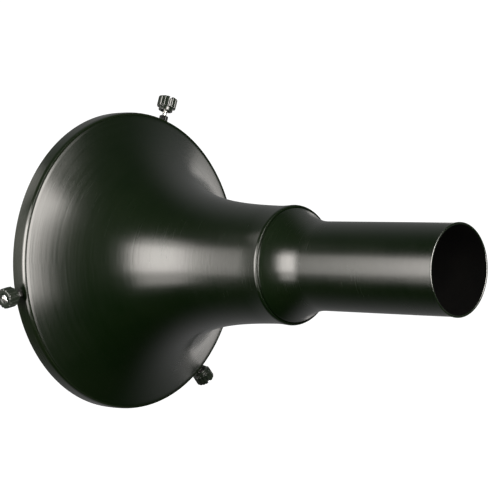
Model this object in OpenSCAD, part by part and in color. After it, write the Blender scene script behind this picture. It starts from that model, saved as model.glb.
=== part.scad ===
// Snoot for a studio flash head: a flat ring that slips over the head's rim, a spun horn
// and a stepped nozzle that narrows the light to a small round beam. Three thumbscrews,
// one third of a turn apart, go through the ring and grip the rim inside it.
//
// The light leaves along +X, and +Z is up. The origin is the centre of the ring's rear
// opening. Lengths named z_ are measured along the axis from the ring's front face, and
// heights named _h with a thumbscrew's piece are measured outwards from the ring's axis.

/* [Sheet metal] */
// Thickness of the sheet
wall = 1.2; // [0.8:0.1:1.3]

/* [Ring] */
// Outside diameter of the ring
ring_d = 266; // [240:1:300]
// Depth of the ring along the axis
ring_depth = 14.5; // [13.5:0.1:18]
// Radius of the rounded front corner
ring_corner = 1.5; // [1.3:0.1:2]
// How far the front edge is rolled in over the horn's flange
ring_lip = 2.6; // [2.4:0.1:5]

/* [Horn] */
// How far inside the ring's rolled edge the flare starts
rim_inset = 0.5; // [0.4:0.1:2]
// Diameter that the horn's curve falls towards
horn_waist_d = 97.8; // [92:0.1:104]
// Length over which the flare would fade out altogether
flare_fade = 391; // [350:1:450]
// How sharply the flare falls away from the rim
flare_power = 8; // [6:0.5:10]
// Distance from the ring's front face to the crest of the bead at the horn's narrow end
z_bead = 188.9; // [180:0.1:200]
// Height of the bead over the horn's narrow end
bead_h = 1.2; // [0.8:0.1:2]
// Radius of the bead's rounded edge
bead_r = 1.6; // [1:0.1:1.8]

/* [Nozzle] */
// Outside diameter of the tube
tube_d = 73.8; // [60:0.1:80]
// Distance from the ring's front face to the tube's mouth
z_mouth = 359.2; // [300:0.1:450]
// Distance from the bead's crest to the shoulder's curve
shoulder_start = 3.65; // [3:0.05:6]
// Length of the curve from the shoulder down to the tube
shoulder_len = 33.25; // [25:0.25:45]
// Radius of the shoulder's round start
shoulder_r = 7.4; // [5:0.1:9]
// Length of the nozzle's end inside the horn's narrow end
spigot_len = 17; // [10:0.5:25]
// Height of the hem round the mouth
hem_h = 0.5; // [0.3:0.1:1]

/* [Thumbscrews] */
// Angle of the first thumbscrew, from +Y towards +Z
first_angle = 71.2; // [0:0.1:119.9]
// Distance of the screws from the ring's rear edge
screw_x = 6; // [5:0.1:7]
// Diameter of the screw's thread
screw_d = 4; // [3:0.5:4]
// Distance that one turn moves a screw
pitch = 0.7; // [0.5:0.1:0.8]
// Turns that the top screw is backed out compared with the others
top_turns_out = 7; // [0:0.5:7]
// Diameter of a knob
knob_d = 17.5; // [16:0.5:20]
// Height of a knob's fluted head
knob_h = 9.6; // [8:0.2:12]
// Number of flutes around a knob
flute_count = 16; // [12:1:20]
// Height of the plain hub under a knob's head
hub_h = 3.1; // [2.5:0.1:6]
// Diameter of the hub
hub_d = 13; // [12:0.1:13.5]
// Width across the flats of a threaded boss
boss_af = 7; // [6:0.1:7]
// Height of a boss above the ring
boss_h = 5.5; // [5:0.1:5.5]

/* [Hidden] */
$fn = 96;
// Clearance of a screw in its boss, and of a tip's neck in its screw
running = 0.05;
// Clearance between sheets that are fixed to each other
seat_gap = 0.1;
// Clearance between pressed pieces
press_gap = 0.02;
// Steps along each curved outline
steps = 36;
// Small chamfer on an edge
edge = 0.3;
// Extra reach of a cut past the faces it goes through
over = 1;

// Ring
ring_r = ring_d / 2;
bore_r = ring_r - wall;
lip_inner_r = ring_r - ring_lip;
seat_step = 0.6;
seat_r = bore_r - seat_step;

// Horn
waist_r = horn_waist_d / 2;
rim_r = lip_inner_r - rim_inset;
flange_r = seat_r - seat_gap;
foot_r = lip_inner_r - seat_gap;
foot_round = 0.4;
z_flange = -wall - seat_gap;
z_flange_back = z_flange - wall;
rim_slope = flare_power * (rim_r - waist_r) / flare_fade;
foot_inner_r = rim_r - wall / norm([1, rim_slope]);
bead_run = 19;
z_bead_start = z_bead - bead_run;
bead_arc = 80;
crest_r = flare_r(z_bead) + bead_h;
z_spigot = z_bead - spigot_len;
neck_inner_r = flare_r(z_spigot) - wall;

// Nozzle. The shoulder's curve is a power close to a parabola. Its round start meets the
// curve at nearly the same slope.
tube_r = tube_d / 2;
hem_r = tube_r + hem_h;
hem_len = 1.6;
hem_slope = 0.6;
spigot_r = neck_inner_r - seat_gap;
shoulder_power = 2.1;
shoulder_ease = 0.9;
shoulder_slope = atan(shoulder_ease * shoulder_power * (spigot_r - tube_r) / shoulder_len);
shoulder_drop = shoulder_r * (1 - cos(shoulder_slope));
z_shoulder = z_bead + shoulder_start;

// Thumbscrews
screw_angles = [first_angle, first_angle + 120, first_angle + 240];
turns_out = [top_turns_out, 0, 0];
slot_angles = [-23, -28, 20];
stud_r = screw_d / 2;
stud_edge = 0.4;
stud_start_h = bore_r + 0.7;
boss_r = boss_af / 2;
boss_turn = 14;
boss_shank_r = 2.95;
boss_shank_start_h = bore_r + running;
boss_top_h = ring_r + boss_h;
hub_start_h = ring_r + 5.6;
head_start_h = hub_start_h + hub_h;
knob_end_h = head_start_h + knob_h;
knob_edge = 0.9;
hub_hollow_r = boss_r / cos(30) + 0.4;
hub_hollow_end_h = hub_start_h + 5.8;
flute_r = 1;
flute_outset = 0.35;
knob_slot = [2.6, 2.2];
screw_head_r = 3.6;
screw_head_h = 2.6;
screw_head_top_h = knob_end_h - 0.4;
screw_slot = [1.2, 1.4];
tip_r = 1.5;
tip_face_h = bore_r + 0.1;
tip_back_h = stud_start_h - running;
tip_neck_r = 0.75;
tip_collar_r = 0.95;
tip_collar_h = stud_start_h + 1.4;
tip_collar_end_h = tip_collar_h + 0.5;
tip_end_h = tip_collar_end_h + 0.4;

PLACES = ["top", "left", "low"];

// Points on an arc, as [along, radius] pairs
function arc(centre, r, from, to, n = 8) =
    [for (i = [0:n]) let (a = from + (to - from) * i / n) centre + r * [cos(a), sin(a)]];

// The points of an outline moved inwards by the sheet's thickness, square to the curve
function inner_side(points) = let (last = len(points) - 1)
    [for (i = [0:last])
        let (d = points[min(i + 1, last)] - points[max(i - 1, 0)])
        points[i] + wall * [d[1], -d[0]] / norm(d)];

function reversed(points) = [for (i = [len(points) - 1:-1:0]) points[i]];

// Outside radius of the plain flare
function flare_r(z) =
    waist_r + (rim_r - waist_r) * pow(1 - z / flare_fade, flare_power);

// Outside radius of the horn, with the slight rise that leads up to the bead
function horn_r(z) = flare_r(z) + bead_h * pow(max(0, (z - z_bead_start) / bead_run), 2);

// Outside radius of the nozzle, from the end of the shoulder's round start to the tube
function nozzle_r(z) =
    let (left = max(0, 1 - (z - z_shoulder) / shoulder_len))
    tube_r + (spigot_r - shoulder_drop - tube_r) * pow(left, shoulder_power);

// Turns an outline of [along, radius] points measured from the ring's front face about +X
module lathe(points)
    translate([ring_depth, 0, 0])
        rotate([0, 90, 0])
            rotate_extrude()
                polygon([for (p = points) [p[1], p[0]]]);

// Stands a thumbscrew's piece on the ring, with its own z axis pointing away from the ring's axis
module at_screw(i)
    translate([screw_x, 0, 0])
        rotate([screw_angles[i] - 90, 0, 0])
            children();

// The same for a piece that moves in and out with the screw
module with_screw(i)
    at_screw(i)
        translate([0, 0, turns_out[i] * pitch])
            rotate([0, 0, slot_angles[i]])
                children();

module collar_ring()
    color("#141511")
        difference() {
            lathe(concat(
                [[-ring_depth, bore_r], [-ring_depth, ring_r - edge], [-ring_depth + edge, ring_r]],
                arc([-ring_corner, ring_r - ring_corner], ring_corner, 90, 0),
                [
                    [0, lip_inner_r], [-wall, lip_inner_r], [-wall, seat_r],
                    [z_flange_back, seat_r], [z_flange_back, bore_r]
                ]
            ));
            for (i = [0:2])
                at_screw(i)
                    translate([0, 0, bore_r - over])
                        cylinder(r = boss_shank_r + press_gap, h = wall + 2 * over);
        }

module horn() {
    flare = [for (i = [0:steps]) let (z = z_bead * i / steps) [z, horn_r(z)]];
    inside = [for (p = inner_side(flare)) if (p[0] < z_spigot - 2 * over) p];
    color("#10110d")
        lathe(concat(
            [[z_flange_back, foot_inner_r], [z_flange_back, flange_r]],
            [[z_flange, flange_r], [z_flange, foot_r], [-foot_round, foot_r]],
            flare,
            arc([z_bead, crest_r - bead_r], bead_r, bead_arc, 0),
            [[z_bead + bead_r, neck_inner_r], [z_spigot - over, neck_inner_r]],
            reversed(inside)
        ));
}

module nozzle() {
    start = arc([z_shoulder - shoulder_r * sin(shoulder_slope), spigot_r - shoulder_r],
        shoulder_r, 90, 90 - shoulder_slope);
    curve = [for (i = [1:steps]) let (z = z_shoulder + shoulder_len * i / steps) [z, nozzle_r(z)]];
    outside = concat([[z_spigot, spigot_r]], start, curve);
    color("#10110d")
        lathe(concat(
            outside,
            [[z_mouth - hem_len - hem_slope, tube_r], [z_mouth - hem_len, hem_r]],
            [[z_mouth - edge, hem_r], [z_mouth, hem_r - edge]],
            [[z_mouth, tube_r - wall + edge], [z_mouth - edge, tube_r - wall]],
            reversed(inner_side(outside))
        ));
}

module threaded_boss(i)
    color("#131312")
        at_screw(i)
            difference() {
                union() {
                    translate([0, 0, boss_shank_start_h])
                        cylinder(r = boss_shank_r, h = wall + over);
                    translate([0, 0, ring_r + running])
                        rotate([0, 0, boss_turn])
                            cylinder(r = boss_r / cos(30), h = boss_h - running, $fn = 6);
                }
                translate([0, 0, bore_r - over])
                    cylinder(r = stud_r + running, h = wall + boss_h + 2 * over);
            }

module stud(i)
    color("#c9cac6")
        with_screw(i)
            difference() {
                rotate_extrude()
                    polygon([
                        [0, stud_start_h], [stud_r - stud_edge, stud_start_h],
                        [stud_r, stud_start_h + stud_edge],
                        [stud_r, screw_head_top_h - screw_head_h],
                        [screw_head_r, screw_head_top_h - screw_head_h],
                        [screw_head_r, screw_head_top_h - knob_edge],
                        [screw_head_r - knob_edge, screw_head_top_h], [0, screw_head_top_h]
                    ]);
                // Seat of the swivel tip's neck, and the wider room for its snap collar
                translate([0, 0, stud_start_h - over])
                    cylinder(r = tip_neck_r + running, h = tip_end_h - stud_start_h + over + edge);
                translate([0, 0, tip_collar_h - running])
                    cylinder(r = tip_collar_r + running, h = tip_end_h - tip_collar_h);
                // Screwdriver slot
                translate([-screw_head_r - over, -screw_slot[0] / 2, screw_head_top_h - screw_slot[1]])
                    cube([2 * (screw_head_r + over), screw_slot[0], screw_slot[1] + over]);
            }

module knob(i) {
    knob_r = knob_d / 2;
    hub_r = hub_d / 2;
    bore = stud_r + press_gap;
    recess_r = screw_head_r + running;
    recess_floor_h = screw_head_top_h - screw_head_h - press_gap;
    color("#0f100f")
        with_screw(i)
            difference() {
                rotate_extrude()
                    polygon([
                        [bore, hub_hollow_end_h], [hub_hollow_r, hub_hollow_end_h],
                        [hub_hollow_r, hub_start_h], [hub_r - edge, hub_start_h],
                        [hub_r, hub_start_h + edge], [hub_r, head_start_h],
                        [knob_r - 2 * edge, head_start_h], [knob_r, head_start_h + 2 * edge],
                        [knob_r, knob_end_h - knob_edge], [knob_r - knob_edge, knob_end_h],
                        [recess_r, knob_end_h], [recess_r, recess_floor_h], [bore, recess_floor_h]
                    ]);
                for (k = [0:flute_count - 1])
                    rotate([0, 0, (k + 0.5) * 360 / flute_count])
                        translate([knob_r + flute_outset, 0, head_start_h - over])
                            cylinder(r = flute_r, h = knob_h + 2 * over, $fn = 32);
                // Slot across the knob's end
                translate([-knob_r - over, -knob_slot[0] / 2, knob_end_h - knob_slot[1]])
                    cube([2 * (knob_r + over), knob_slot[0], knob_slot[1] + over]);
            }
}

module swivel_tip(i)
    color("#d8d4c4")
        with_screw(i)
            rotate_extrude()
                polygon([
                    [0, tip_face_h], [tip_r - edge, tip_face_h], [tip_r, tip_face_h + edge],
                    [tip_r, tip_back_h], [tip_neck_r, tip_back_h],
                    [tip_neck_r, tip_collar_h], [tip_collar_r, tip_collar_h],
                    [tip_collar_r, tip_collar_end_h], [tip_neck_r, tip_end_h], [0, tip_end_h]
                ]);

collar_ring();
horn();
nozzle();
for (i = [0:2]) {
    threaded_boss(i);
    stud(i);
    knob(i);
    swivel_tip(i);
}
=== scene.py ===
"""Looks of the snoot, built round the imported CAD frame.

Lengths are in metres in the CAD frame: +X is the light's axis, +Z is up, and the origin is
the centre of the ring's rear opening. An outline is a list of (along, radius) pairs. The sheet
metal pieces are turned about +X, and the pieces of a thumbscrew about its own axis, which
points straight out of the ring.
"""

import math

import bpy
from mathutils import Matrix, Vector


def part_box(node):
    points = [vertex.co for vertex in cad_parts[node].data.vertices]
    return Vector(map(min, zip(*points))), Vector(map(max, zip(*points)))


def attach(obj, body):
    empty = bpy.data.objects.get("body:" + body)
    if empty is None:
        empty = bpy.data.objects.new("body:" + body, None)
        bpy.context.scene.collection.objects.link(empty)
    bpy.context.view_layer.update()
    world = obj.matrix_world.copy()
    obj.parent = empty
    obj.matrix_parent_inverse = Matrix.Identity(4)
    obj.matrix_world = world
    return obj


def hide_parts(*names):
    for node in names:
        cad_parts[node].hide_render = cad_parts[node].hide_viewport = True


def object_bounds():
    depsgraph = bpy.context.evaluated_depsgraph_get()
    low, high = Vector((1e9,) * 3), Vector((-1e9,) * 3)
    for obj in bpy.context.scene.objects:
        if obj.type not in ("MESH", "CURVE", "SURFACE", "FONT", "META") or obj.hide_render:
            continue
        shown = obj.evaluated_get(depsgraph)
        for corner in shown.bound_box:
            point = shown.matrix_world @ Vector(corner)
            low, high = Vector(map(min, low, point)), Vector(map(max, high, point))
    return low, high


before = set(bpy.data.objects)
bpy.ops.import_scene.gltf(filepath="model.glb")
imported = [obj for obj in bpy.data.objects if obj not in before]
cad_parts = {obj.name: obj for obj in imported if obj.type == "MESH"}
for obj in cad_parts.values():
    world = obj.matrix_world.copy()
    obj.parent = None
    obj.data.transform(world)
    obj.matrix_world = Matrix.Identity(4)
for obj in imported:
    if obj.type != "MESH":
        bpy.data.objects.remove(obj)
CAD_LOW, CAD_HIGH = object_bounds()

MM = 0.001

# ---------------------------------------------------------------- sizes

RING_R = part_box("collar_ring")[1].z
RING_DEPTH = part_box("collar_ring")[1].x
MOUTH_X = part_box("nozzle")[1].x
WALL = 1.2 * MM

EDGE = 0.3 * MM
SHEET_GAP = 0.1 * MM
# How far a rolled edge bends in, in degrees, before it turns square
EDGE_SLOPE = 25
# Edges that turn by more degrees than these stay crisp, or get a small bevel
CRISP_DEGREES, BEVEL_DEGREES = 38, 50

RING_CORNER = 1.5 * MM
RING_LIP = 2.6 * MM
LIP_FLAT = 0.7 * MM
BAND_CROWN = 0.15 * MM
CORNER_RUN = 3.5 * MM
BORE_R = RING_R - WALL
SEAT_STEP = 0.6 * MM
SEAT_R = BORE_R - SEAT_STEP
LIP_R = RING_R - RING_LIP
# Rows of the ring's mesh between its rear edge and the holes
REAR_ROWS = (0.6 * MM, 1.0 * MM)
RING_COLUMNS = 720
# Round each boss's hole, a square patch of so many cells a side gives way to rings of faces
PATCH_HALF = 4.6 * MM
PATCH_CELLS = 8
PATCH_STEPS = (1 / 3, 2 / 3, 1)

# Lengths that end in Z are measured from the ring's front face
FLANGE_Z = -WALL - SHEET_GAP
FLANGE_R = SEAT_R - SHEET_GAP
FOOT_R = LIP_R - SHEET_GAP
FOOT_ROUND = 0.4 * MM
FOOT_END_DEGREES = 32
HORN_RIM_R = LIP_R - 0.5 * MM
HORN_WAIST_R = 48.9 * MM
FLARE_FADE = 391.0 * MM
FLARE_POWER = 8
BEAD_Z = 188.9 * MM
BEAD_HEIGHT = 1.2 * MM
BEAD_EDGE_R = 1.6 * MM
BEAD_NOSE = 0.35 * MM
BEAD_RISE = 19.0 * MM
CREST_LEAD = 1.2 * MM
SPIGOT_LENGTH = 17.0 * MM
SPIGOT_Z = BEAD_Z - SPIGOT_LENGTH
# The horn's inside steps to the neck's straight bore this far before the spigot
NECK_LEAD = 1 * MM

TUBE_R = 36.9 * MM
HEM_R = TUBE_R + 0.5 * MM
HEM_LENGTH = 1.5 * MM
HEM_ROUND = 0.55 * MM
SHOULDER_Z = BEAD_Z + 3.65 * MM
SHOULDER_LENGTH = 33.25 * MM
SHOULDER_ROUND = 7.4 * MM
SHOULDER_POWER = 2.1
SHOULDER_EASE = 0.9

SCREW_X = 6.0 * MM
PITCH = 0.7 * MM
STUD_R = 2.0 * MM
THREAD_DEPTH = 0.36 * MM
# A ridge's height in shares of the thread's depth: at its middle, and its fall over a pitch.
# What is above 1 or below 0 is cut flat.
RIDGE_PEAK, RIDGE_FALL = 1.35, 3.4
THREAD_LEAD = 0.5 * MM
THREAD_LEAD_CUT = 0.12 * MM
SOCKET_DEPTH = 2.0 * MM
# Clearances of the thread, of pieces that hold each other, and of the swivel tip
FIT_GAP = 0.06 * MM
TIGHT_GAP = 0.02 * MM
TIP_GAP = 0.05 * MM

BOSS_SHANK_R = 2.95 * MM
BOSS_SHANK_EDGE = 0.15 * MM
BOSS_FLATS = 7.0 * MM
# The round blank is wider than the hexagon's corners, and its chamfer runs onto the flats
BOSS_BLANK_R = 5.0 * MM
BOSS_CHAMFER = 0.9 * MM
BOSS_FACE_EDGE = 0.1 * MM
BOSS_BORE_FLARE = 0.45 * MM
BOSS_BORE_FLARE_DEPTH = 0.4 * MM
BOSS_BORE_EDGE = 0.2 * MM
BOSS_BEVEL = 0.12 * MM
BOSS_TURN = 14
BOSS_TOP = RING_R + 5.5 * MM

STUD_START = BORE_R + 0.7 * MM
HUB_START = RING_R + 5.6 * MM
HUB_HEIGHT = 3.1 * MM
HUB_R = 6.5 * MM
HUB_ROUND = 0.5 * MM
HUB_HOLLOW_R = 4.44 * MM
HUB_HOLLOW_DEPTH = 5.8 * MM
HEAD_START = HUB_START + HUB_HEIGHT
KNOB_END = HEAD_START + 9.6 * MM
KNOB_R = 8.75 * MM
KNOB_BASE_ROUND = 0.7 * MM
KNOB_CROWN_ROUND = 1.1 * MM
KNOB_CROWN_FLAT = 0.4 * MM
KNOB_BEVEL = 0.15 * MM
RECESS_GAP = 0.08 * MM
RECESS_ROUND = 0.25 * MM
FLUTES = 16
FLUTE_DEPTH = 0.75 * MM
# The share of a flute's spacing that its groove takes up
FLUTE_WIDTH = 0.62
KNOB_SLOT_WIDTH = 2.6 * MM
KNOB_SLOT_DEPTH = 2.2 * MM

SCREW_HEAD_R = 3.6 * MM
SCREW_HEAD_HEIGHT = 2.6 * MM
SCREW_HEAD_SINK = 0.4 * MM
SCREW_HEAD_DOME = 0.9 * MM
SCREW_SLOT_WIDTH = 1.2 * MM
SCREW_SLOT_DEPTH = 1.4 * MM
# How far the cutter of a slot reaches: past the rim, as a share of it, and past the end
SLOT_REACH, SLOT_CLEAR = 1.2, 1.0 * MM

TIP_R = 1.5 * MM
TIP_NECK_R = 0.75 * MM
TIP_FACE_GAP = 0.1 * MM
TIP_BACK_EDGE = 0.1 * MM
# The middle of the tip's face is flat over this share
TIP_FLAT = 0.6

# Each thumbscrew's place: angle from +Y towards +Z, turns backed out, and the slot's direction
SCREWS = {"top": (71.2, 7, -23), "left": (191.2, 0, -28), "low": (311.2, 0, 20)}

# ---------------------------------------------------------------- outlines


def arc(centre, radius, start, end, count=8):
    """Points from one angle to another, in degrees."""
    angles = [math.radians(start + (end - start) * i / count) for i in range(count + 1)]
    return [(centre[0] + radius * math.cos(a), centre[1] + radius * math.sin(a)) for a in angles]


def line(start, end, count):
    """Evenly spaced points from start up to, but not including, end."""
    return [
        (start[0] + (end[0] - start[0]) * i / count, start[1] + (end[1] - start[1]) * i / count)
        for i in range(count)
    ]


def inner_side(points, thickness=WALL):
    """The same outline moved towards the axis, square to the curve."""
    moved = []
    for i, (x, r) in enumerate(points):
        before, after = points[max(i - 1, 0)], points[min(i + 1, len(points) - 1)]
        dx, dr = after[0] - before[0], after[1] - before[1]
        length = math.hypot(dx, dr)
        moved.append((x + thickness * dr / length, r - thickness * dx / length))
    return moved


def rolled_edge(start, slope, end_x, nose_r):
    """Sheet that bends in gently from a slope, then turns square to the axis at a small nose."""
    turn, steps = math.radians(EDGE_SLOPE), 16
    nose_start = end_x - nose_r * (1 - math.sin(turn))
    run, change = nose_start - start[0], slope + math.tan(turn)
    roll = [
        (start[0] + run * t, start[1] + run * (slope * t - change * t * t / 2))
        for t in (i / steps for i in range(steps + 1))
    ]
    centre = (nose_start - nose_r * math.sin(turn), roll[-1][1] - nose_r * math.cos(turn))
    return roll + arc(centre, nose_r, 90 - EDGE_SLOPE, 0, 6)[1:]


def from_front(points):
    """Moves an outline measured from the ring's front face into the CAD frame."""
    return [(x + RING_DEPTH, r) for x, r in points]


def band_radius(x):
    """Outside of the ring's band, which is slightly crowned."""
    half = (RING_DEPTH - RING_CORNER) / 2
    from_middle = (x - half) / half
    return RING_R - BAND_CROWN * from_middle**2


def flare_radius(z):
    """Outside of the plain flare at a distance from the ring's front face."""
    return HORN_WAIST_R + (HORN_RIM_R - HORN_WAIST_R) * (1 - z / FLARE_FADE) ** FLARE_POWER


def horn_radius(z):
    """Outside of the horn, with the slight rise that leads up to the bead."""
    rise = max(0.0, (z - BEAD_Z + BEAD_RISE) / BEAD_RISE)
    return flare_radius(z) + BEAD_HEIGHT * rise**2


NECK_INNER_R = flare_radius(SPIGOT_Z) - WALL
SPIGOT_R = NECK_INNER_R - SHEET_GAP


# ---------------------------------------------------------------- mesh helpers


def mesh_piece(name, points, faces):
    """A smooth-shaded object with its normals outwards and its crisp edges kept."""
    mesh = bpy.data.meshes.new(name)
    mesh.from_pydata([tuple(p) for p in points], [], faces)
    mesh.validate()
    mesh.update()
    mesh.polygons.foreach_set("use_smooth", [True] * len(mesh.polygons))
    mesh.set_sharp_from_angle(angle=math.radians(CRISP_DEGREES))
    piece = bpy.data.objects.new(name, mesh)
    bpy.context.scene.collection.objects.link(piece)
    return piece


def turned_points(outline, columns, place, radius_at):
    """An outline's points, column after column of a whole turn.

    radius_at(index, angle, along, radius) gives the radius where the body isn't round.
    """
    points = []
    for c in range(columns):
        angle = math.tau * c / columns
        for i, (along, radius) in enumerate(outline):
            r = radius_at(i, angle, along, radius) if radius_at else radius
            points.append(place @ Vector((r * math.cos(angle), r * math.sin(angle), along)))
    return points


def turned(name, outline, columns, place=Matrix.Rotation(math.pi / 2, 4, "Y"), radius_at=None):
    """A body whose closed outline is turned about its place's z axis."""
    rows, faces = len(outline), []
    for c in range(columns):
        here, there = c * rows, (c + 1) % columns * rows
        for i in range(rows):
            j = (i + 1) % rows
            faces.append((here + i, there + i, there + j, here + j))
    return mesh_piece(name, turned_points(outline, columns, place, radius_at), faces)


def solid_turned(name, outline, columns, place, radius_at=None):
    """The same where the outline starts and ends at the axis, closed by fans of triangles.

    The index that radius_at gets counts from the outline's second point.
    """
    body = outline[1:-1]
    rows, faces = len(body), []
    points = turned_points(body, columns, place, radius_at)
    start, end = len(points), len(points) + 1
    points += [place @ Vector((0, 0, along)) for along in (outline[0][0], outline[-1][0])]
    for c in range(columns):
        here, there = c * rows, (c + 1) % columns * rows
        faces += [(here + i, there + i, there + i + 1, here + i + 1) for i in range(rows - 1)]
        faces += [(start, there, here), (here + rows - 1, there + rows - 1, end)]
    return mesh_piece(name, points, faces)


def cut_slot(piece, place, length, width, floor, end):
    """Cuts a straight slot across a piece's end. Its middle is on the axis that place gives."""
    low, high = (-length / 2, -width / 2, floor), (length / 2, width / 2, end)
    corners = [
        place @ Vector((x, y, z))
        for x in (low[0], high[0])
        for y in (low[1], high[1])
        for z in (low[2], high[2])
    ]
    sides = [(0, 1, 3, 2), (4, 6, 7, 5), (0, 4, 5, 1), (2, 3, 7, 6), (0, 2, 6, 4), (1, 5, 7, 3)]
    cutter = mesh_piece("cutter", corners, sides)
    cut = piece.modifiers.new("slot", "BOOLEAN")
    cut.operation, cut.object, cut.solver = "DIFFERENCE", cutter, "EXACT"
    graph = bpy.context.evaluated_depsgraph_get()
    result = bpy.data.meshes.new_from_object(piece.evaluated_get(graph))
    piece.modifiers.clear()
    bpy.data.objects.remove(cutter)
    result.set_sharp_from_angle(angle=math.radians(CRISP_DEGREES))
    piece.data = result
    return piece


def soften(piece, width):
    """Rounds a piece's crisp edges a little, so that they catch the light."""
    bevel = piece.modifiers.new("edges", "BEVEL")
    bevel.width, bevel.segments, bevel.limit_method = width, 2, "ANGLE"
    bevel.angle_limit = math.radians(BEVEL_DEGREES)
    bevel.harden_normals = True


# ---------------------------------------------------------------- sheet metal


def ring_outline(hole_rows):
    """The ring's section, and where the rows of a hole start on its outside and its inside."""
    lip_back = RING_DEPTH - WALL
    seat_end = RING_DEPTH + FLANGE_Z - WALL
    roll_start = RING_DEPTH - CORNER_RUN
    rear = [(x, r - BAND_CROWN) for x, r in arc((EDGE, RING_R - EDGE), EDGE, 180, 90, 5)]
    rear += [(x, band_radius(x)) for x in REAR_ROWS]
    band = [(x, band_radius(x)) for x in hole_rows]
    front = rolled_edge((roll_start, band_radius(roll_start)), 0, RING_DEPTH, EDGE)
    front.append((RING_DEPTH, LIP_R + LIP_FLAT))
    lip = arc((RING_DEPTH - EDGE, LIP_R + EDGE), EDGE, 0, -90, 5)
    lip += arc((lip_back + EDGE, LIP_R + EDGE), EDGE, -90, -180, 5)
    seat = [(lip_back, SEAT_R), (seat_end, SEAT_R), (seat_end, BORE_R)]
    bore = [(x, BORE_R) for x in (*reversed(hole_rows), *reversed(REAR_ROWS))]
    bore += [(EDGE, BORE_R), (EDGE / 3, BORE_R + EDGE / 3)]
    to_bore = rear + band + front + lip + seat
    return to_bore + bore, len(rear), len(to_bore)


def collar_ring():
    """The flat ring, with its front edge rolled in and a round hole for each boss."""
    cells, columns, stations = PATCH_CELLS, RING_COLUMNS, len(SCREWS)
    half_cells = cells // 2
    hole_rows = [SCREW_X - PATCH_HALF + 2 * PATCH_HALF * i / cells for i in range(cells + 1)]
    outline, outer_first, inner_first = ring_outline(hole_rows)
    rows = len(outline)
    first_angle = math.radians(SCREWS["top"][0])
    points = []
    for c in range(columns):
        angle = first_angle + math.tau * c / columns
        points += [Vector((x, r * math.cos(angle), r * math.sin(angle))) for x, r in outline]

    faces = []
    for c in range(columns):
        here, there = c * rows, (c + 1) % columns * rows
        at_hole = (c + half_cells) % (columns // stations) < cells
        for i in range(rows):
            in_patch = any(0 <= i - first < cells for first in (outer_first, inner_first))
            if not (at_hole and in_patch):
                j = (i + 1) % rows
                faces.append((here + i, there + i, there + j, here + j))

    step, hole_r = math.tau / columns, BOSS_SHANK_R + TIGHT_GAP
    border = [(k, 0) for k in range(cells)] + [(cells, k) for k in range(cells)]
    border += [(cells - k, cells) for k in range(cells)] + [(0, cells - k) for k in range(cells)]
    around = [(k, (k + 1) % len(border)) for k in range(len(border))]
    for number in range(stations):
        middle = number * columns // stations
        rims = []
        for first, outside in ((outer_first, True), (inner_first, False)):
            loop = [
                (middle - half_cells + k) % columns * rows + first + (m if outside else cells - m)
                for k, m in border
            ]
            for t in PATCH_STEPS:
                narrower = []
                for k, m in border:
                    radius = band_radius(hole_rows[m]) if outside else BORE_R
                    u, v = (k - half_cells) * step * radius, hole_rows[m] - SCREW_X
                    scale = 1 - t + t * hole_r / math.hypot(u, v)
                    angle = first_angle + middle * step + u * scale / radius
                    x = SCREW_X + v * scale
                    r = band_radius(x) if outside else BORE_R
                    narrower.append(len(points))
                    points.append(Vector((x, r * math.cos(angle), r * math.sin(angle))))
                for k, n in around:
                    quad = (loop[k], loop[n], narrower[n], narrower[k])
                    faces.append(quad[::-1] if outside else quad)
                loop = narrower
            rims.append(loop)
        outer, inner = rims
        faces += [(outer[k], inner[k], inner[n], outer[n]) for k, n in around]
    return mesh_piece("ring_band", points, faces)


def horn():
    """The spun horn: a flange behind the ring's rolled edge, the flare, and the bead."""
    samples = 150
    flange_back, bead_end = FLANGE_Z - WALL, BEAD_Z + BEAD_EDGE_R
    crest_start = BEAD_Z - CREST_LEAD
    flare = [(z, horn_radius(z)) for z in (crest_start * i / samples for i in range(samples + 1))]
    inside = [p for p in inner_side(flare) if p[0] < SPIGOT_Z - 2 * NECK_LEAD]
    bead = rolled_edge(flare[-1], 2 * BEAD_HEIGHT / BEAD_RISE, bead_end, BEAD_NOSE)[1:]
    neck_end = (bead_end, NECK_INNER_R)
    neck_start = (SPIGOT_Z - NECK_LEAD, NECK_INNER_R)
    foot = arc((-FOOT_ROUND, FOOT_R - FOOT_ROUND), FOOT_ROUND, 90, FOOT_END_DEGREES, 4)
    outline = (
        line((flange_back, inside[0][1]), (flange_back, FLANGE_R), 3)
        + line((flange_back, FLANGE_R), (FLANGE_Z, FLANGE_R), 2)
        + line((FLANGE_Z, FLANGE_R), (FLANGE_Z, FOOT_R), 2)
        + [(FLANGE_Z, FOOT_R)]
        + foot
        + flare
        + bead
        + line(neck_end, neck_start, 8)
        + [neck_start]
        + inside[::-1]
    )
    return turned("horn_skin", from_front(outline), 288)


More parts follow.
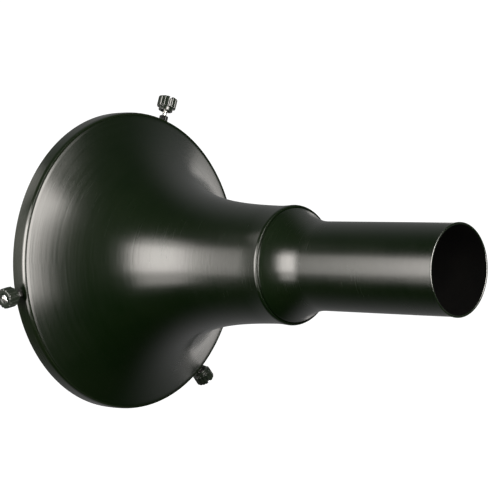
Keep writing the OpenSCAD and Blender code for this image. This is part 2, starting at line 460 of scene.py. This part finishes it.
def nozzle():
    """The nozzle: a spigot inside the horn's neck, a rounded shoulder, the tube and its hem."""
    mouth = MOUTH_X - RING_DEPTH
    slope = math.atan(SHOULDER_EASE * SHOULDER_POWER * (SPIGOT_R - TUBE_R) / SHOULDER_LENGTH)
    drop = SHOULDER_ROUND * (1 - math.cos(slope))
    round_centre = (SHOULDER_Z - SHOULDER_ROUND * math.sin(slope), SPIGOT_R - SHOULDER_ROUND)

    def shoulder_radius(z):
        left = max(0.0, 1 - (z - SHOULDER_Z) / SHOULDER_LENGTH)
        return TUBE_R + (SPIGOT_R - drop - TUBE_R) * left**SHOULDER_POWER

    samples = 60
    curve = [SHOULDER_Z + SHOULDER_LENGTH * i / samples for i in range(1, samples + 1)]
    outside = line((SPIGOT_Z, SPIGOT_R), (round_centre[0], SPIGOT_R), 6)
    outside += arc(round_centre, SHOULDER_ROUND, 90, 90 - math.degrees(slope), 12)
    outside += [(z, shoulder_radius(z)) for z in curve]
    hem_start = mouth - HEM_LENGTH
    tube = line((curve[-1], TUBE_R), (hem_start, TUBE_R), 50)[1:]
    hem = [(hem_start, TUBE_R), (hem_start + EDGE / 3, HEM_R - EDGE)]
    hem += arc((hem_start + EDGE * 4 / 3, HEM_R - EDGE), EDGE, 180, 90, 4)[1:]
    hem += arc((mouth - HEM_ROUND, HEM_R - HEM_ROUND), HEM_ROUND, 90, 0, 8)
    hem += arc((mouth - HEM_ROUND, TUBE_R - WALL + HEM_ROUND), HEM_ROUND, 0, -90, 8)
    inner = [(x, TUBE_R - WALL) for x, _ in tube[::-1]] + inner_side(outside)[::-1]
    return turned("nozzle_skin", from_front(outside + tube + hem + inner), 224)


# ---------------------------------------------------------------- thumbscrews


def station(name):
    """Where a thumbscrew's own frame stands, with z pointing straight out of the ring."""
    angle = math.radians(SCREWS[name][0] - 90)
    return Matrix.Translation((SCREW_X, 0, 0)) @ Matrix.Rotation(angle, 4, "X")


def screwed(name):
    """The same for the pieces that travel, with the screw as far out as it rests."""
    _, turns, slot = SCREWS[name]
    lift = Matrix.Translation((0, 0, turns * PITCH))
    return station(name) @ lift @ Matrix.Rotation(math.radians(slot), 4, "Z")


def boss(name):
    """A threaded boss: hexagon outside the ring, round shank through it."""
    bore = STUD_R + FIT_GAP
    hex_start, shank_end = RING_R + FIT_GAP, BORE_R + TIGHT_GAP
    outline = [(shank_end, bore + BOSS_BORE_EDGE), (shank_end, BOSS_SHANK_R - BOSS_SHANK_EDGE)]
    outline += [(shank_end + BOSS_SHANK_EDGE, BOSS_SHANK_R), (hex_start, BOSS_SHANK_R)]
    hex_from = len(outline)
    outline += [(hex_start + (BOSS_TOP - hex_start) * i / 8, BOSS_BLANK_R) for i in range(6)]
    for i in range(7):
        below = BOSS_CHAMFER * (1 - i / 6)
        outline.append((BOSS_TOP - below, BOSS_FLATS / 2 + BOSS_FACE_EDGE + below))
    hex_to = len(outline)
    outline += [(BOSS_TOP, bore + BOSS_BORE_FLARE), (BOSS_TOP - BOSS_BORE_FLARE_DEPTH, bore)]
    outline += [(shank_end + BOSS_BORE_EDGE, bore)]

    def hexagon(index, angle, along, radius):
        if not hex_from <= index < hex_to:
            return radius
        from_flat = (angle + math.pi / 6) % (math.pi / 3) - math.pi / 6
        return min(radius, BOSS_FLATS / 2 / math.cos(from_flat))

    place = station(name) @ Matrix.Rotation(math.radians(BOSS_TURN), 4, "Z")
    return turned(f"boss_{name}_hex", outline, 96, place, hexagon)


def stud(name):
    """A slotted screw with a true right-hand thread and a socket for its swivel tip."""
    head_top = KNOB_END - SCREW_HEAD_SINK
    head_start, dome_start = head_top - SCREW_HEAD_HEIGHT, head_top - SCREW_HEAD_DOME
    thread_length = HUB_START + HUB_HOLLOW_DEPTH - STUD_START
    rows_per_turn = 10
    rows = int(thread_length / PITCH * rows_per_turn)
    socket_r, socket_end = TIP_NECK_R + TIP_GAP, STUD_START + SOCKET_DEPTH
    outline = [(socket_end, 0), (socket_end, socket_r), (STUD_START, socket_r)]
    thread_from = len(outline) - 1
    outline += [(STUD_START + thread_length * i / rows, STUD_R) for i in range(rows + 1)]
    thread_to = len(outline) - 1
    outline += [(head_start, STUD_R), (head_start, SCREW_HEAD_R)]
    outline += line((head_start, SCREW_HEAD_R), (dome_start, SCREW_HEAD_R), 3)[1:]
    outline += [
        (dome_start + SCREW_HEAD_DOME * math.sin(a), SCREW_HEAD_R * math.cos(a))
        for a in (math.pi / 2 * i / 12 for i in range(13))
    ]

    def thread_radius(index, angle, along, radius):
        if not thread_from <= index < thread_to:
            return radius
        phase = (along / PITCH - angle / math.tau) % 1
        ridge = min(1.0, max(0.0, RIDGE_PEAK - RIDGE_FALL * abs(phase - 0.5)))
        full = min(1.0, (along - STUD_START) / THREAD_LEAD)
        return STUD_R - THREAD_DEPTH * (1 - ridge * full) - THREAD_LEAD_CUT * (1 - full)

    piece = solid_turned(f"stud_{name}_screw", outline, 64, screwed(name), thread_radius)
    length = 2 * SCREW_HEAD_R * SLOT_REACH
    floor, end = head_top - SCREW_SLOT_DEPTH, head_top + SLOT_CLEAR
    return cut_slot(piece, screwed(name), length, SCREW_SLOT_WIDTH, floor, end)


def knob(name):
    """A moulded knob: a hub that swallows the boss, and a fluted head slotted across its end."""
    seat = KNOB_END - SCREW_HEAD_SINK - SCREW_HEAD_HEIGHT
    recess_r, bore = SCREW_HEAD_R + RECESS_GAP, STUD_R + TIGHT_GAP
    hollow_end = HUB_START + HUB_HOLLOW_DEPTH
    base, crown = HEAD_START + KNOB_BASE_ROUND, KNOB_END - KNOB_CROWN_ROUND
    crown_r = KNOB_R - KNOB_CROWN_ROUND
    outline = [(hollow_end, bore), (hollow_end, HUB_HOLLOW_R)]
    outline += line((hollow_end, HUB_HOLLOW_R), (HUB_START + EDGE, HUB_HOLLOW_R), 3)[1:]
    outline += arc((HUB_START + EDGE, HUB_HOLLOW_R + EDGE), EDGE, 270, 180, 3)
    outline += arc((HUB_START + HUB_ROUND, HUB_R - HUB_ROUND), HUB_ROUND, 180, 90, 5)
    outline += line((HUB_START + HUB_ROUND, HUB_R), (HEAD_START - EDGE, HUB_R), 4)[1:]
    outline += arc((HEAD_START - EDGE, HUB_R + EDGE), EDGE, -90, 0, 4)
    fluted_from = len(outline)
    outline += arc((base, KNOB_R - KNOB_BASE_ROUND), KNOB_BASE_ROUND, 180, 90, 6)
    outline += line((base, KNOB_R), (crown, KNOB_R), 6)[1:]
    outline += arc((crown, crown_r), KNOB_CROWN_ROUND, 90, 0, 8)
    fluted_to = len(outline)
    recess_edge = (KNOB_END, recess_r + RECESS_ROUND)
    outline += line((KNOB_END, crown_r - KNOB_CROWN_FLAT), recess_edge, 3)
    outline += arc((KNOB_END - RECESS_ROUND, recess_edge[1]), RECESS_ROUND, 0, -90, 3)
    outline += [(seat, recess_r), (seat, bore)]

    def fluted(index, angle, along, radius):
        if not fluted_from <= index < fluted_to:
            return radius
        across = abs(((angle / math.tau * FLUTES) % 1) - 0.5) * 2
        groove = max(0.0, 1 - (across / FLUTE_WIDTH) ** 2) ** 0.5
        fade = min(1.0, max(0.0, (radius - HUB_R) / (KNOB_R - HUB_R)))
        return radius - FLUTE_DEPTH * groove * fade

    piece = turned(f"knob_{name}_grip", outline, FLUTES * 16, screwed(name), fluted)
    length = 2 * KNOB_R * SLOT_REACH
    floor, end = KNOB_END - KNOB_SLOT_DEPTH, KNOB_END + SLOT_CLEAR
    return cut_slot(piece, screwed(name), length, KNOB_SLOT_WIDTH, floor, end)


def tip(name):
    """A swivel tip: a round pad on a neck that snaps into the screw's socket."""
    face, back = BORE_R + TIP_FACE_GAP, STUD_START - TIP_GAP
    socket_end = STUD_START + SOCKET_DEPTH
    outline = [(face, 0), (face, (TIP_R - EDGE) * TIP_FLAT)]
    outline += arc((face + EDGE, TIP_R - EDGE), EDGE, 180, 90, 6)
    outline += [(back - TIP_BACK_EDGE, TIP_R), (back, TIP_R - TIP_BACK_EDGE), (back, TIP_NECK_R)]
    outline += [(socket_end - 2 * TIP_GAP, TIP_NECK_R), (socket_end - TIP_GAP, 0)]
    return solid_turned(f"tip_{name}_pad", outline, 48, screwed(name))


# ---------------------------------------------------------------- materials


class Shader:
    """A new node material, with short calls to add and join its nodes."""

    def __init__(self, name):
        self.material = bpy.data.materials.new(name)
        self.material.use_nodes = True
        self.tree = self.material.node_tree
        self.surface = self.tree.nodes["Principled BSDF"]

    def node(self, kind, **settings):
        """Adds a node with its settings."""
        made = self.tree.nodes.new(kind)
        for key, value in settings.items():
            setattr(made, key, value)
        return made

    def feed(self, target, value):
        """Joins an output to an input, or sets the input to a plain value."""
        if isinstance(value, bpy.types.NodeSocket):
            self.tree.links.new(value, target)
        else:
            target.default_value = value

    def gets(self, name, value):
        """Feeds one of the surface's own inputs."""
        self.feed(self.surface.inputs[name], value)

    def math(self, operation, first, second=0.0):
        """The result of an operation on one or two values."""
        made = self.node("ShaderNodeMath", operation=operation)
        self.feed(made.inputs[0], first)
        self.feed(made.inputs[1], second)
        return made.outputs[0]

    def noise(self, vector, scale, detail=2.0, roughness=0.5):
        """Noise from 0 to 1. Its scale is about how many bumps there are in a metre."""
        made = self.node("ShaderNodeTexNoise")
        self.feed(made.inputs["Vector"], vector)
        made.inputs["Scale"].default_value = scale
        made.inputs["Detail"].default_value = detail
        made.inputs["Roughness"].default_value = roughness
        return made.outputs["Fac"]

    def spread(self, value, low, high, to_low=0.0, to_high=1.0):
        """Maps a value from one range to another, and stops at its ends."""
        made = self.node("ShaderNodeMapRange")
        numbers = (value, low, high, to_low, to_high)
        for socket, number in zip(made.inputs, numbers):
            self.feed(socket, number)
        return made.outputs["Result"]

    def mix(self, share, first, second):
        """A colour between two others."""
        made = self.node("ShaderNodeMix", data_type="RGBA")
        self.feed(made.inputs["Factor"], share)
        self.feed(made.inputs["A"], first)
        self.feed(made.inputs["B"], second)
        return made.outputs["Result"]

    def bump(self, height, distance, strength, under=None):
        """The surface's direction with a height map on it, on top of another one."""
        made = self.node("ShaderNodeBump")
        made.inputs["Strength"].default_value = strength
        made.inputs["Distance"].default_value = distance
        self.feed(made.inputs["Height"], height)
        if under is not None:
            self.feed(made.inputs["Normal"], under)
        return made.outputs["Normal"]

    def place(self):
        """Object coordinates."""
        return self.node("ShaderNodeTexCoord").outputs["Object"]

    def turned_place(self):
        """Object coordinates as (x, radius, a little of the angle), and then x and the radius.

        A pattern on the first runs round the piece as the marks of spinning do. The little of
        the angle keeps the marks from closing into perfect circles.
        """
        angle_share = 2 * MM
        split = self.node("ShaderNodeSeparateXYZ")
        self.feed(split.inputs[0], self.place())
        x, y, z = split.outputs
        square_y, square_z = self.math("MULTIPLY", y, y), self.math("MULTIPLY", z, z)
        radius = self.math("SQRT", self.math("ADD", square_y, square_z))
        angle = self.math("ARCTAN2", z, y)
        join = self.node("ShaderNodeCombineXYZ")
        self.feed(join.inputs[0], x)
        self.feed(join.inputs[1], radius)
        self.feed(join.inputs[2], self.math("MULTIPLY", angle, angle_share))
        return join.outputs[0], x, radius


def grey(value, warmth=0.0):
    """A colour near grey, a little warmer or cooler."""
    return (value * (1 + warmth), value * (1 + warmth / 3), value * (1 - warmth), 1.0)


def satin_paint(name, marks, gloss_from=None):
    """Satin black paint with the marks of spinning, a fine orange peel and handling haze.

    marks is how strongly the spinning shows, and gloss_from is where along the axis an edge
    starts that hands have rubbed to a gloss.
    """
    s = Shader(name)
    rings, x, _ = s.turned_place()
    place = s.place()
    spun = s.noise(rings, 700, 3, 0.6)
    broad = s.noise(rings, 330)
    peel = s.noise(place, 1600)
    haze = s.noise(place, 14, 4, 0.6)
    specks = s.spread(s.noise(place, 2600, 1), 0.74, 0.8)
    black, hazy_black = (0.0010, 0.0033, 0.0006, 1), (0.0019, 0.0044, 0.0011, 1)
    colour = s.mix(s.spread(haze, 0.35, 0.75), black, hazy_black)
    colour = s.mix(s.math("MULTIPLY", specks, 0.5), colour, grey(0.05, 0.1))
    haze_rough = s.spread(haze, 0.3, 0.7, 0.232, 0.262)
    rough = s.math("ADD", haze_rough, s.spread(spun, 0.35, 0.65, -0.02, 0.02))
    normal = s.bump(broad, 0.12 * MM, 0.5 * marks)
    normal = s.bump(spun, 0.04 * MM, 0.7 * marks, normal)
    normal = s.bump(peel, 0.016 * MM, 0.5, normal)
    if gloss_from is not None:
        ragged = s.spread(s.noise(place, 420, 3, 0.7), 0.3, 0.7, -0.1 * MM, 0.1 * MM)
        handled = s.math("ADD", x, ragged)
        s.gets("Coat Weight", s.spread(handled, gloss_from, gloss_from + 0.2 * MM))
        s.gets("Coat IOR", 1.8)
        s.gets("Coat Roughness", 0.15)
    s.gets("Base Color", colour)
    s.gets("Roughness", rough)
    s.gets("Normal", normal)
    s.gets("Specular IOR Level", 0.5)
    return s.material


def matte_lining(name):
    """Flat black paint inside the horn and tube, which soaks up stray light."""
    s = Shader(name)
    place = s.place()
    grain = s.noise(place, 2200, 3, 0.7)
    drift = s.noise(place, 30, 3)
    s.gets("Base Color", s.mix(s.spread(drift, 0.35, 0.7), grey(0.0008), grey(0.0018, 0.1)))
    s.gets("Roughness", s.spread(grain, 0.3, 0.7, 0.72, 0.88))
    s.gets("Normal", s.bump(grain, 0.05 * MM, 0.7))
    s.gets("Specular IOR Level", 0.06)
    return s.material


def strip_paint(name):
    """Satin black paint on the ring's strip, with lengthwise draw marks and a rubbed corner."""
    s = Shader(name)
    rings, x, radius = s.turned_place()
    place = s.place()
    drawn = s.noise(rings, 1100, 2, 0.6)
    peel = s.noise(place, 1500)
    haze = s.noise(place, 22, 4, 0.6)
    black, hazy_black = (0.0020, 0.0048, 0.0012, 1), (0.0040, 0.0066, 0.0026, 1)
    haze_rough = s.spread(haze, 0.3, 0.7, 0.225, 0.265)
    rough = s.math("ADD", haze_rough, s.spread(drawn, 0.3, 0.7, -0.02, 0.02))
    near_front = s.spread(x, RING_DEPTH - CORNER_RUN, RING_DEPTH - 0.7 * CORNER_RUN)
    outside_lip = s.spread(radius, LIP_R + 1.3 * MM, LIP_R + 1.6 * MM)
    rubbed = s.math("MULTIPLY", near_front, outside_lip)
    s.gets("Base Color", s.mix(s.spread(haze, 0.35, 0.75), black, hazy_black))
    s.gets("Roughness", s.math("SUBTRACT", rough, s.math("MULTIPLY", rubbed, 0.07)))
    s.gets("Normal", s.bump(peel, 0.012 * MM, 0.5, s.bump(drawn, 0.03 * MM, 0.6)))
    s.gets("Specular IOR Level", 0.65)
    return s.material


def black_oxide(name):
    """Glossy black finish of the bosses, with paler smudges."""
    s = Shader(name)
    place = s.place()
    grain = s.noise(place, 3000)
    smudge = s.noise(place, 380, 3)
    s.gets("Base Color", s.mix(s.spread(smudge, 0.5, 0.75), grey(0.006), grey(0.02, 0.1)))
    s.gets("Roughness", s.spread(smudge, 0.3, 0.7, 0.12, 0.22))
    s.gets("Normal", s.bump(grain, 0.01 * MM, 0.5))
    s.gets("Specular IOR Level", 0.8)
    s.gets("Coat Weight", 0.3)
    s.gets("Coat Roughness", 0.1)
    return s.material


def zinc(name):
    """Bright zinc plate with a fine grain and a faint blue to straw tint."""
    s = Shader(name)
    place = s.place()
    grain = s.noise(place, 2600)
    tint = s.noise(place, 300)
    blue, straw = (0.67, 0.69, 0.71, 1), (0.71, 0.70, 0.66, 1)
    s.gets("Base Color", s.mix(s.spread(tint, 0.35, 0.65), blue, straw))
    s.gets("Roughness", s.spread(grain, 0.3, 0.7, 0.2, 0.32))
    s.gets("Normal", s.bump(grain, 0.01 * MM, 0.6))
    s.gets("Metallic", 1.0)
    return s.material


def moulded_plastic(name):
    """Glossy black moulded plastic with a faint ripple and dull finger marks."""
    s = Shader(name)
    place = s.place()
    ripple = s.noise(place, 700)
    marks = s.noise(place, 260, 3, 0.6)
    black, marked_black = (0.007, 0.010, 0.007, 1), (0.013, 0.017, 0.012, 1)
    s.gets("Base Color", s.mix(s.spread(marks, 0.35, 0.7), black, marked_black))
    s.gets("Roughness", s.spread(marks, 0.35, 0.7, 0.09, 0.17))
    s.gets("Normal", s.bump(ripple, 0.02 * MM, 0.3))
    s.gets("IOR", 1.58)
    return s.material


def nylon(name):
    """Natural nylon, cloudy and slightly waxy."""
    s = Shader(name)
    cloud = s.noise(s.place(), 900, 3)
    s.gets("Base Color", s.mix(cloud, (0.80, 0.77, 0.68, 1), (0.70, 0.66, 0.55, 1)))
    s.gets("Roughness", s.spread(cloud, 0.3, 0.7, 0.38, 0.5))
    s.gets("Subsurface Weight", 0.15)
    s.gets("Subsurface Scale", 1 * MM)
    return s.material


def line_inside(piece, lining, is_inside):
    """Gives the faces that look towards the axis a second material."""
    least_tilt = 0.02
    piece.data.materials.append(lining)
    for face in piece.data.polygons:
        outward = Vector((0, face.center.y, face.center.z))
        if face.normal.dot(outward) < -least_tilt * outward.length and is_inside(face.center):
            face.material_index = 1


# ---------------------------------------------------------------- assembly


def fit(piece, node, body, material):
    """Puts a piece in a CAD node's place."""
    piece.data.materials.append(material)
    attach(piece, body)
    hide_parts(node)
    return piece


# Where the tube's glossy mouth starts and its matte lining ends
MOUTH_RIM_X = MOUTH_X - 0.5 * MM

sheet = satin_paint("satin_paint", 0.85)
mouth_sheet = satin_paint("satin_paint_glossy_mouth", 0.3, MOUTH_RIM_X)
lining = matte_lining("matte_lining")

fit(collar_ring(), "collar_ring", "snoot", strip_paint("strip_paint"))
horn_piece = fit(horn(), "horn", "snoot", sheet)
nozzle_piece = fit(nozzle(), "nozzle", "snoot", mouth_sheet)
line_inside(horn_piece, lining, lambda centre: centre.x > RING_DEPTH)
line_inside(nozzle_piece, lining, lambda centre: centre.x < MOUTH_RIM_X)

boss_finish, stud_finish = black_oxide("black_oxide"), zinc("bright_zinc")
knob_finish, tip_finish = moulded_plastic("moulded_plastic"), nylon("natural_nylon")
for place_name in SCREWS:
    screw_body, tip_body = f"{place_name}_thumbscrew", f"{place_name}_tip"
    boss_node, knob_node = f"boss_{place_name}", f"knob_{place_name}"
    boss_piece = fit(boss(place_name), boss_node, "snoot", boss_finish)
    soften(boss_piece, BOSS_BEVEL)
    fit(stud(place_name), f"stud_{place_name}", screw_body, stud_finish)
    knob_piece = fit(knob(place_name), knob_node, screw_body, knob_finish)
    soften(knob_piece, KNOB_BEVEL)
    fit(tip(place_name), f"tip_{place_name}", tip_body, tip_finish)

# ---------------------------------------------------------------- camera

VIEW_AZIMUTH = math.radians(42.3)
VIEW_ELEVATION = math.radians(1.43)
LENS_MM = 145.05
SENSOR_MM = 36.0
# The ring's front face from the camera: how far to the right, up and away
RING_RIGHT, RING_UP, RING_AWAY = -0.10242, -0.009485, 1.8084

camera_turn = Matrix.Rotation(VIEW_AZIMUTH, 3, "Z")
camera_turn = camera_turn @ Matrix.Rotation(math.pi / 2 - VIEW_ELEVATION, 3, "X")
CAMERA_RIGHT, CAMERA_UP, CAMERA_BACK = (camera_turn.col[i].copy() for i in range(3))
TO_CAMERA = Vector((CAMERA_BACK.x, CAMERA_BACK.y, 0)).normalized()
camera_data = bpy.data.cameras.new("camera")
camera_data.lens, camera_data.sensor_width = LENS_MM, SENSOR_MM
camera = bpy.data.objects.new("camera", camera_data)
ring_centre = Vector((RING_DEPTH, 0, 0))
camera.location = (
    ring_centre - CAMERA_RIGHT * RING_RIGHT - CAMERA_UP * RING_UP + CAMERA_BACK * RING_AWAY
)
camera.rotation_euler = camera_turn.to_euler()
bpy.context.scene.collection.objects.link(camera)
bpy.context.scene.camera = camera

# ---------------------------------------------------------------- studio

WARM = (1.0, 0.955, 0.91)
LAMP_DISTANCE = 1.3
FLOOR_HALF, FLOOR_DROP = 6.0, 0.45
# How bright the backdrop and the ceiling look to the paint, and the backdrop to the eye
BACKDROP, CEILING, WHITE = 0.25, 0.05, 1.1

# Name, sideways, rise, width, height and radiance, with the angles in degrees as softbox() says
SOFTBOXES = (
    ("key_glow", -60.5, 1, 29, 62, 5.5),
    ("key_softbox", -55.5, 5.5, 31, 35, 9.6),
    ("key_fringe", -79, 4, 9, 40, 2.6),
    ("right_glow", 30.5, 6, 39, 56, 3.5),
    ("right_softbox", 34, 10, 34, 56, 13),
    ("high_softbox", 53.5, 33, 25, 39, 2.4),
    ("side_wall", -87, 4, 24, 38, 0.75),
    ("side_wall_high", -111, 19, 20, 38, 1.4),
    ("backdrop_glow", 157, -2, 26, 46, 0.85),
)


def softbox(name, sideways, rise, width, height, radiance):
    """A soft rectangular light that faces the object.

    Where it stands and how wide and high it looks are angles, seen from the middle of the
    object. Sideways starts at the camera and grows to its right.
    """
    turn, lift = math.radians(sideways), math.radians(rise)
    level = Matrix.Rotation(turn, 3, "Z") @ TO_CAMERA
    direction = level * math.cos(lift) + Vector((0, 0, math.sin(lift)))
    light = bpy.data.lights.new(name, "AREA")
    light.shape = "RECTANGLE"
    light.size = 2 * LAMP_DISTANCE * math.tan(math.radians(width / 2))
    light.size_y = 2 * LAMP_DISTANCE * math.tan(math.radians(height / 2))
    light.energy, light.color = radiance * math.pi * light.size * light.size_y, WARM
    lamp = bpy.data.objects.new(name, light)
    lamp.location = Vector((MOUTH_X / 2, 0, 0)) + direction * LAMP_DISTANCE
    lamp.rotation_euler = direction.to_track_quat("Z", "Y").to_euler()
    lamp.visible_camera = False
    bpy.context.scene.collection.objects.link(lamp)


def white_room():
    """White all round for the eye. The paint mirrors a dim room, paler behind and above."""
    world = bpy.data.worlds.new("white_room")
    world.use_nodes = True
    tree = world.node_tree
    tree.nodes.clear()
    output = tree.nodes.new("ShaderNodeOutputWorld")
    choose = tree.nodes.new("ShaderNodeMixShader")
    path = tree.nodes.new("ShaderNodeLightPath")
    seen = tree.nodes.new("ShaderNodeBackground")
    mirrored = tree.nodes.new("ShaderNodeBackground")
    direction = tree.nodes.new("ShaderNodeTexCoord")
    towards_back = tree.nodes.new("ShaderNodeVectorMath")
    towards_back.operation = "DOT_PRODUCT"
    towards_back.inputs[1].default_value = -TO_CAMERA
    split = tree.nodes.new("ShaderNodeSeparateXYZ")
    total = tree.nodes.new("ShaderNodeMath")
    tree.links.new(direction.outputs["Generated"], towards_back.inputs[0])
    tree.links.new(direction.outputs["Generated"], split.inputs[0])
    # Each brightens from nothing to its own strength as a mirrored direction comes near it
    parts = (
        (towards_back.outputs["Value"], (0.1, 0.75, 0, BACKDROP)),
        (split.outputs["Z"], (0.3, 0.9, 0, CEILING)),
    )
    for k, (nearness, numbers) in enumerate(parts):
        ramp = tree.nodes.new("ShaderNodeMapRange")
        ramp.interpolation_type = "SMOOTHSTEP"
        for socket, number in zip(ramp.inputs[1:5], numbers):
            socket.default_value = number
        tree.links.new(nearness, ramp.inputs[0])
        tree.links.new(ramp.outputs[0], total.inputs[k])
    tree.links.new(total.outputs[0], mirrored.inputs["Strength"])
    seen.inputs["Strength"].default_value = WHITE
    seen.inputs["Color"].default_value = mirrored.inputs["Color"].default_value = (1, 1, 1, 1)
    tree.links.new(path.outputs["Is Camera Ray"], choose.inputs[0])
    tree.links.new(mirrored.outputs[0], choose.inputs[1])
    tree.links.new(seen.outputs[0], choose.inputs[2])
    tree.links.new(choose.outputs[0], output.inputs[0])
    bpy.context.scene.world = world


def pale_floor():
    """A wide pale floor, well below the object, which something else holds up."""
    level = CAD_LOW.z - FLOOR_DROP
    corners = [(x * FLOOR_HALF, y * FLOOR_HALF) for x, y in ((-1, -1), (1, -1), (1, 1), (-1, 1))]
    floor = mesh_piece("floor", [(x, y, level) for x, y in corners], [(0, 1, 2, 3)])
    s = Shader("pale_floor")
    s.gets("Base Color", s.mix(s.noise(s.place(), 3), grey(0.9), grey(0.86)))
    s.gets("Roughness", 0.9)
    s.gets("Emission Color", (1, 1, 1, 1))
    s.gets("Emission Strength", 1.0)
    floor.data.materials.append(s.material)
    floor.visible_glossy = floor.visible_diffuse = False


white_room()
pale_floor()
for settings in SOFTBOXES:
    softbox(*settings)
bpy.context.scene.view_settings.view_transform = "Standard"
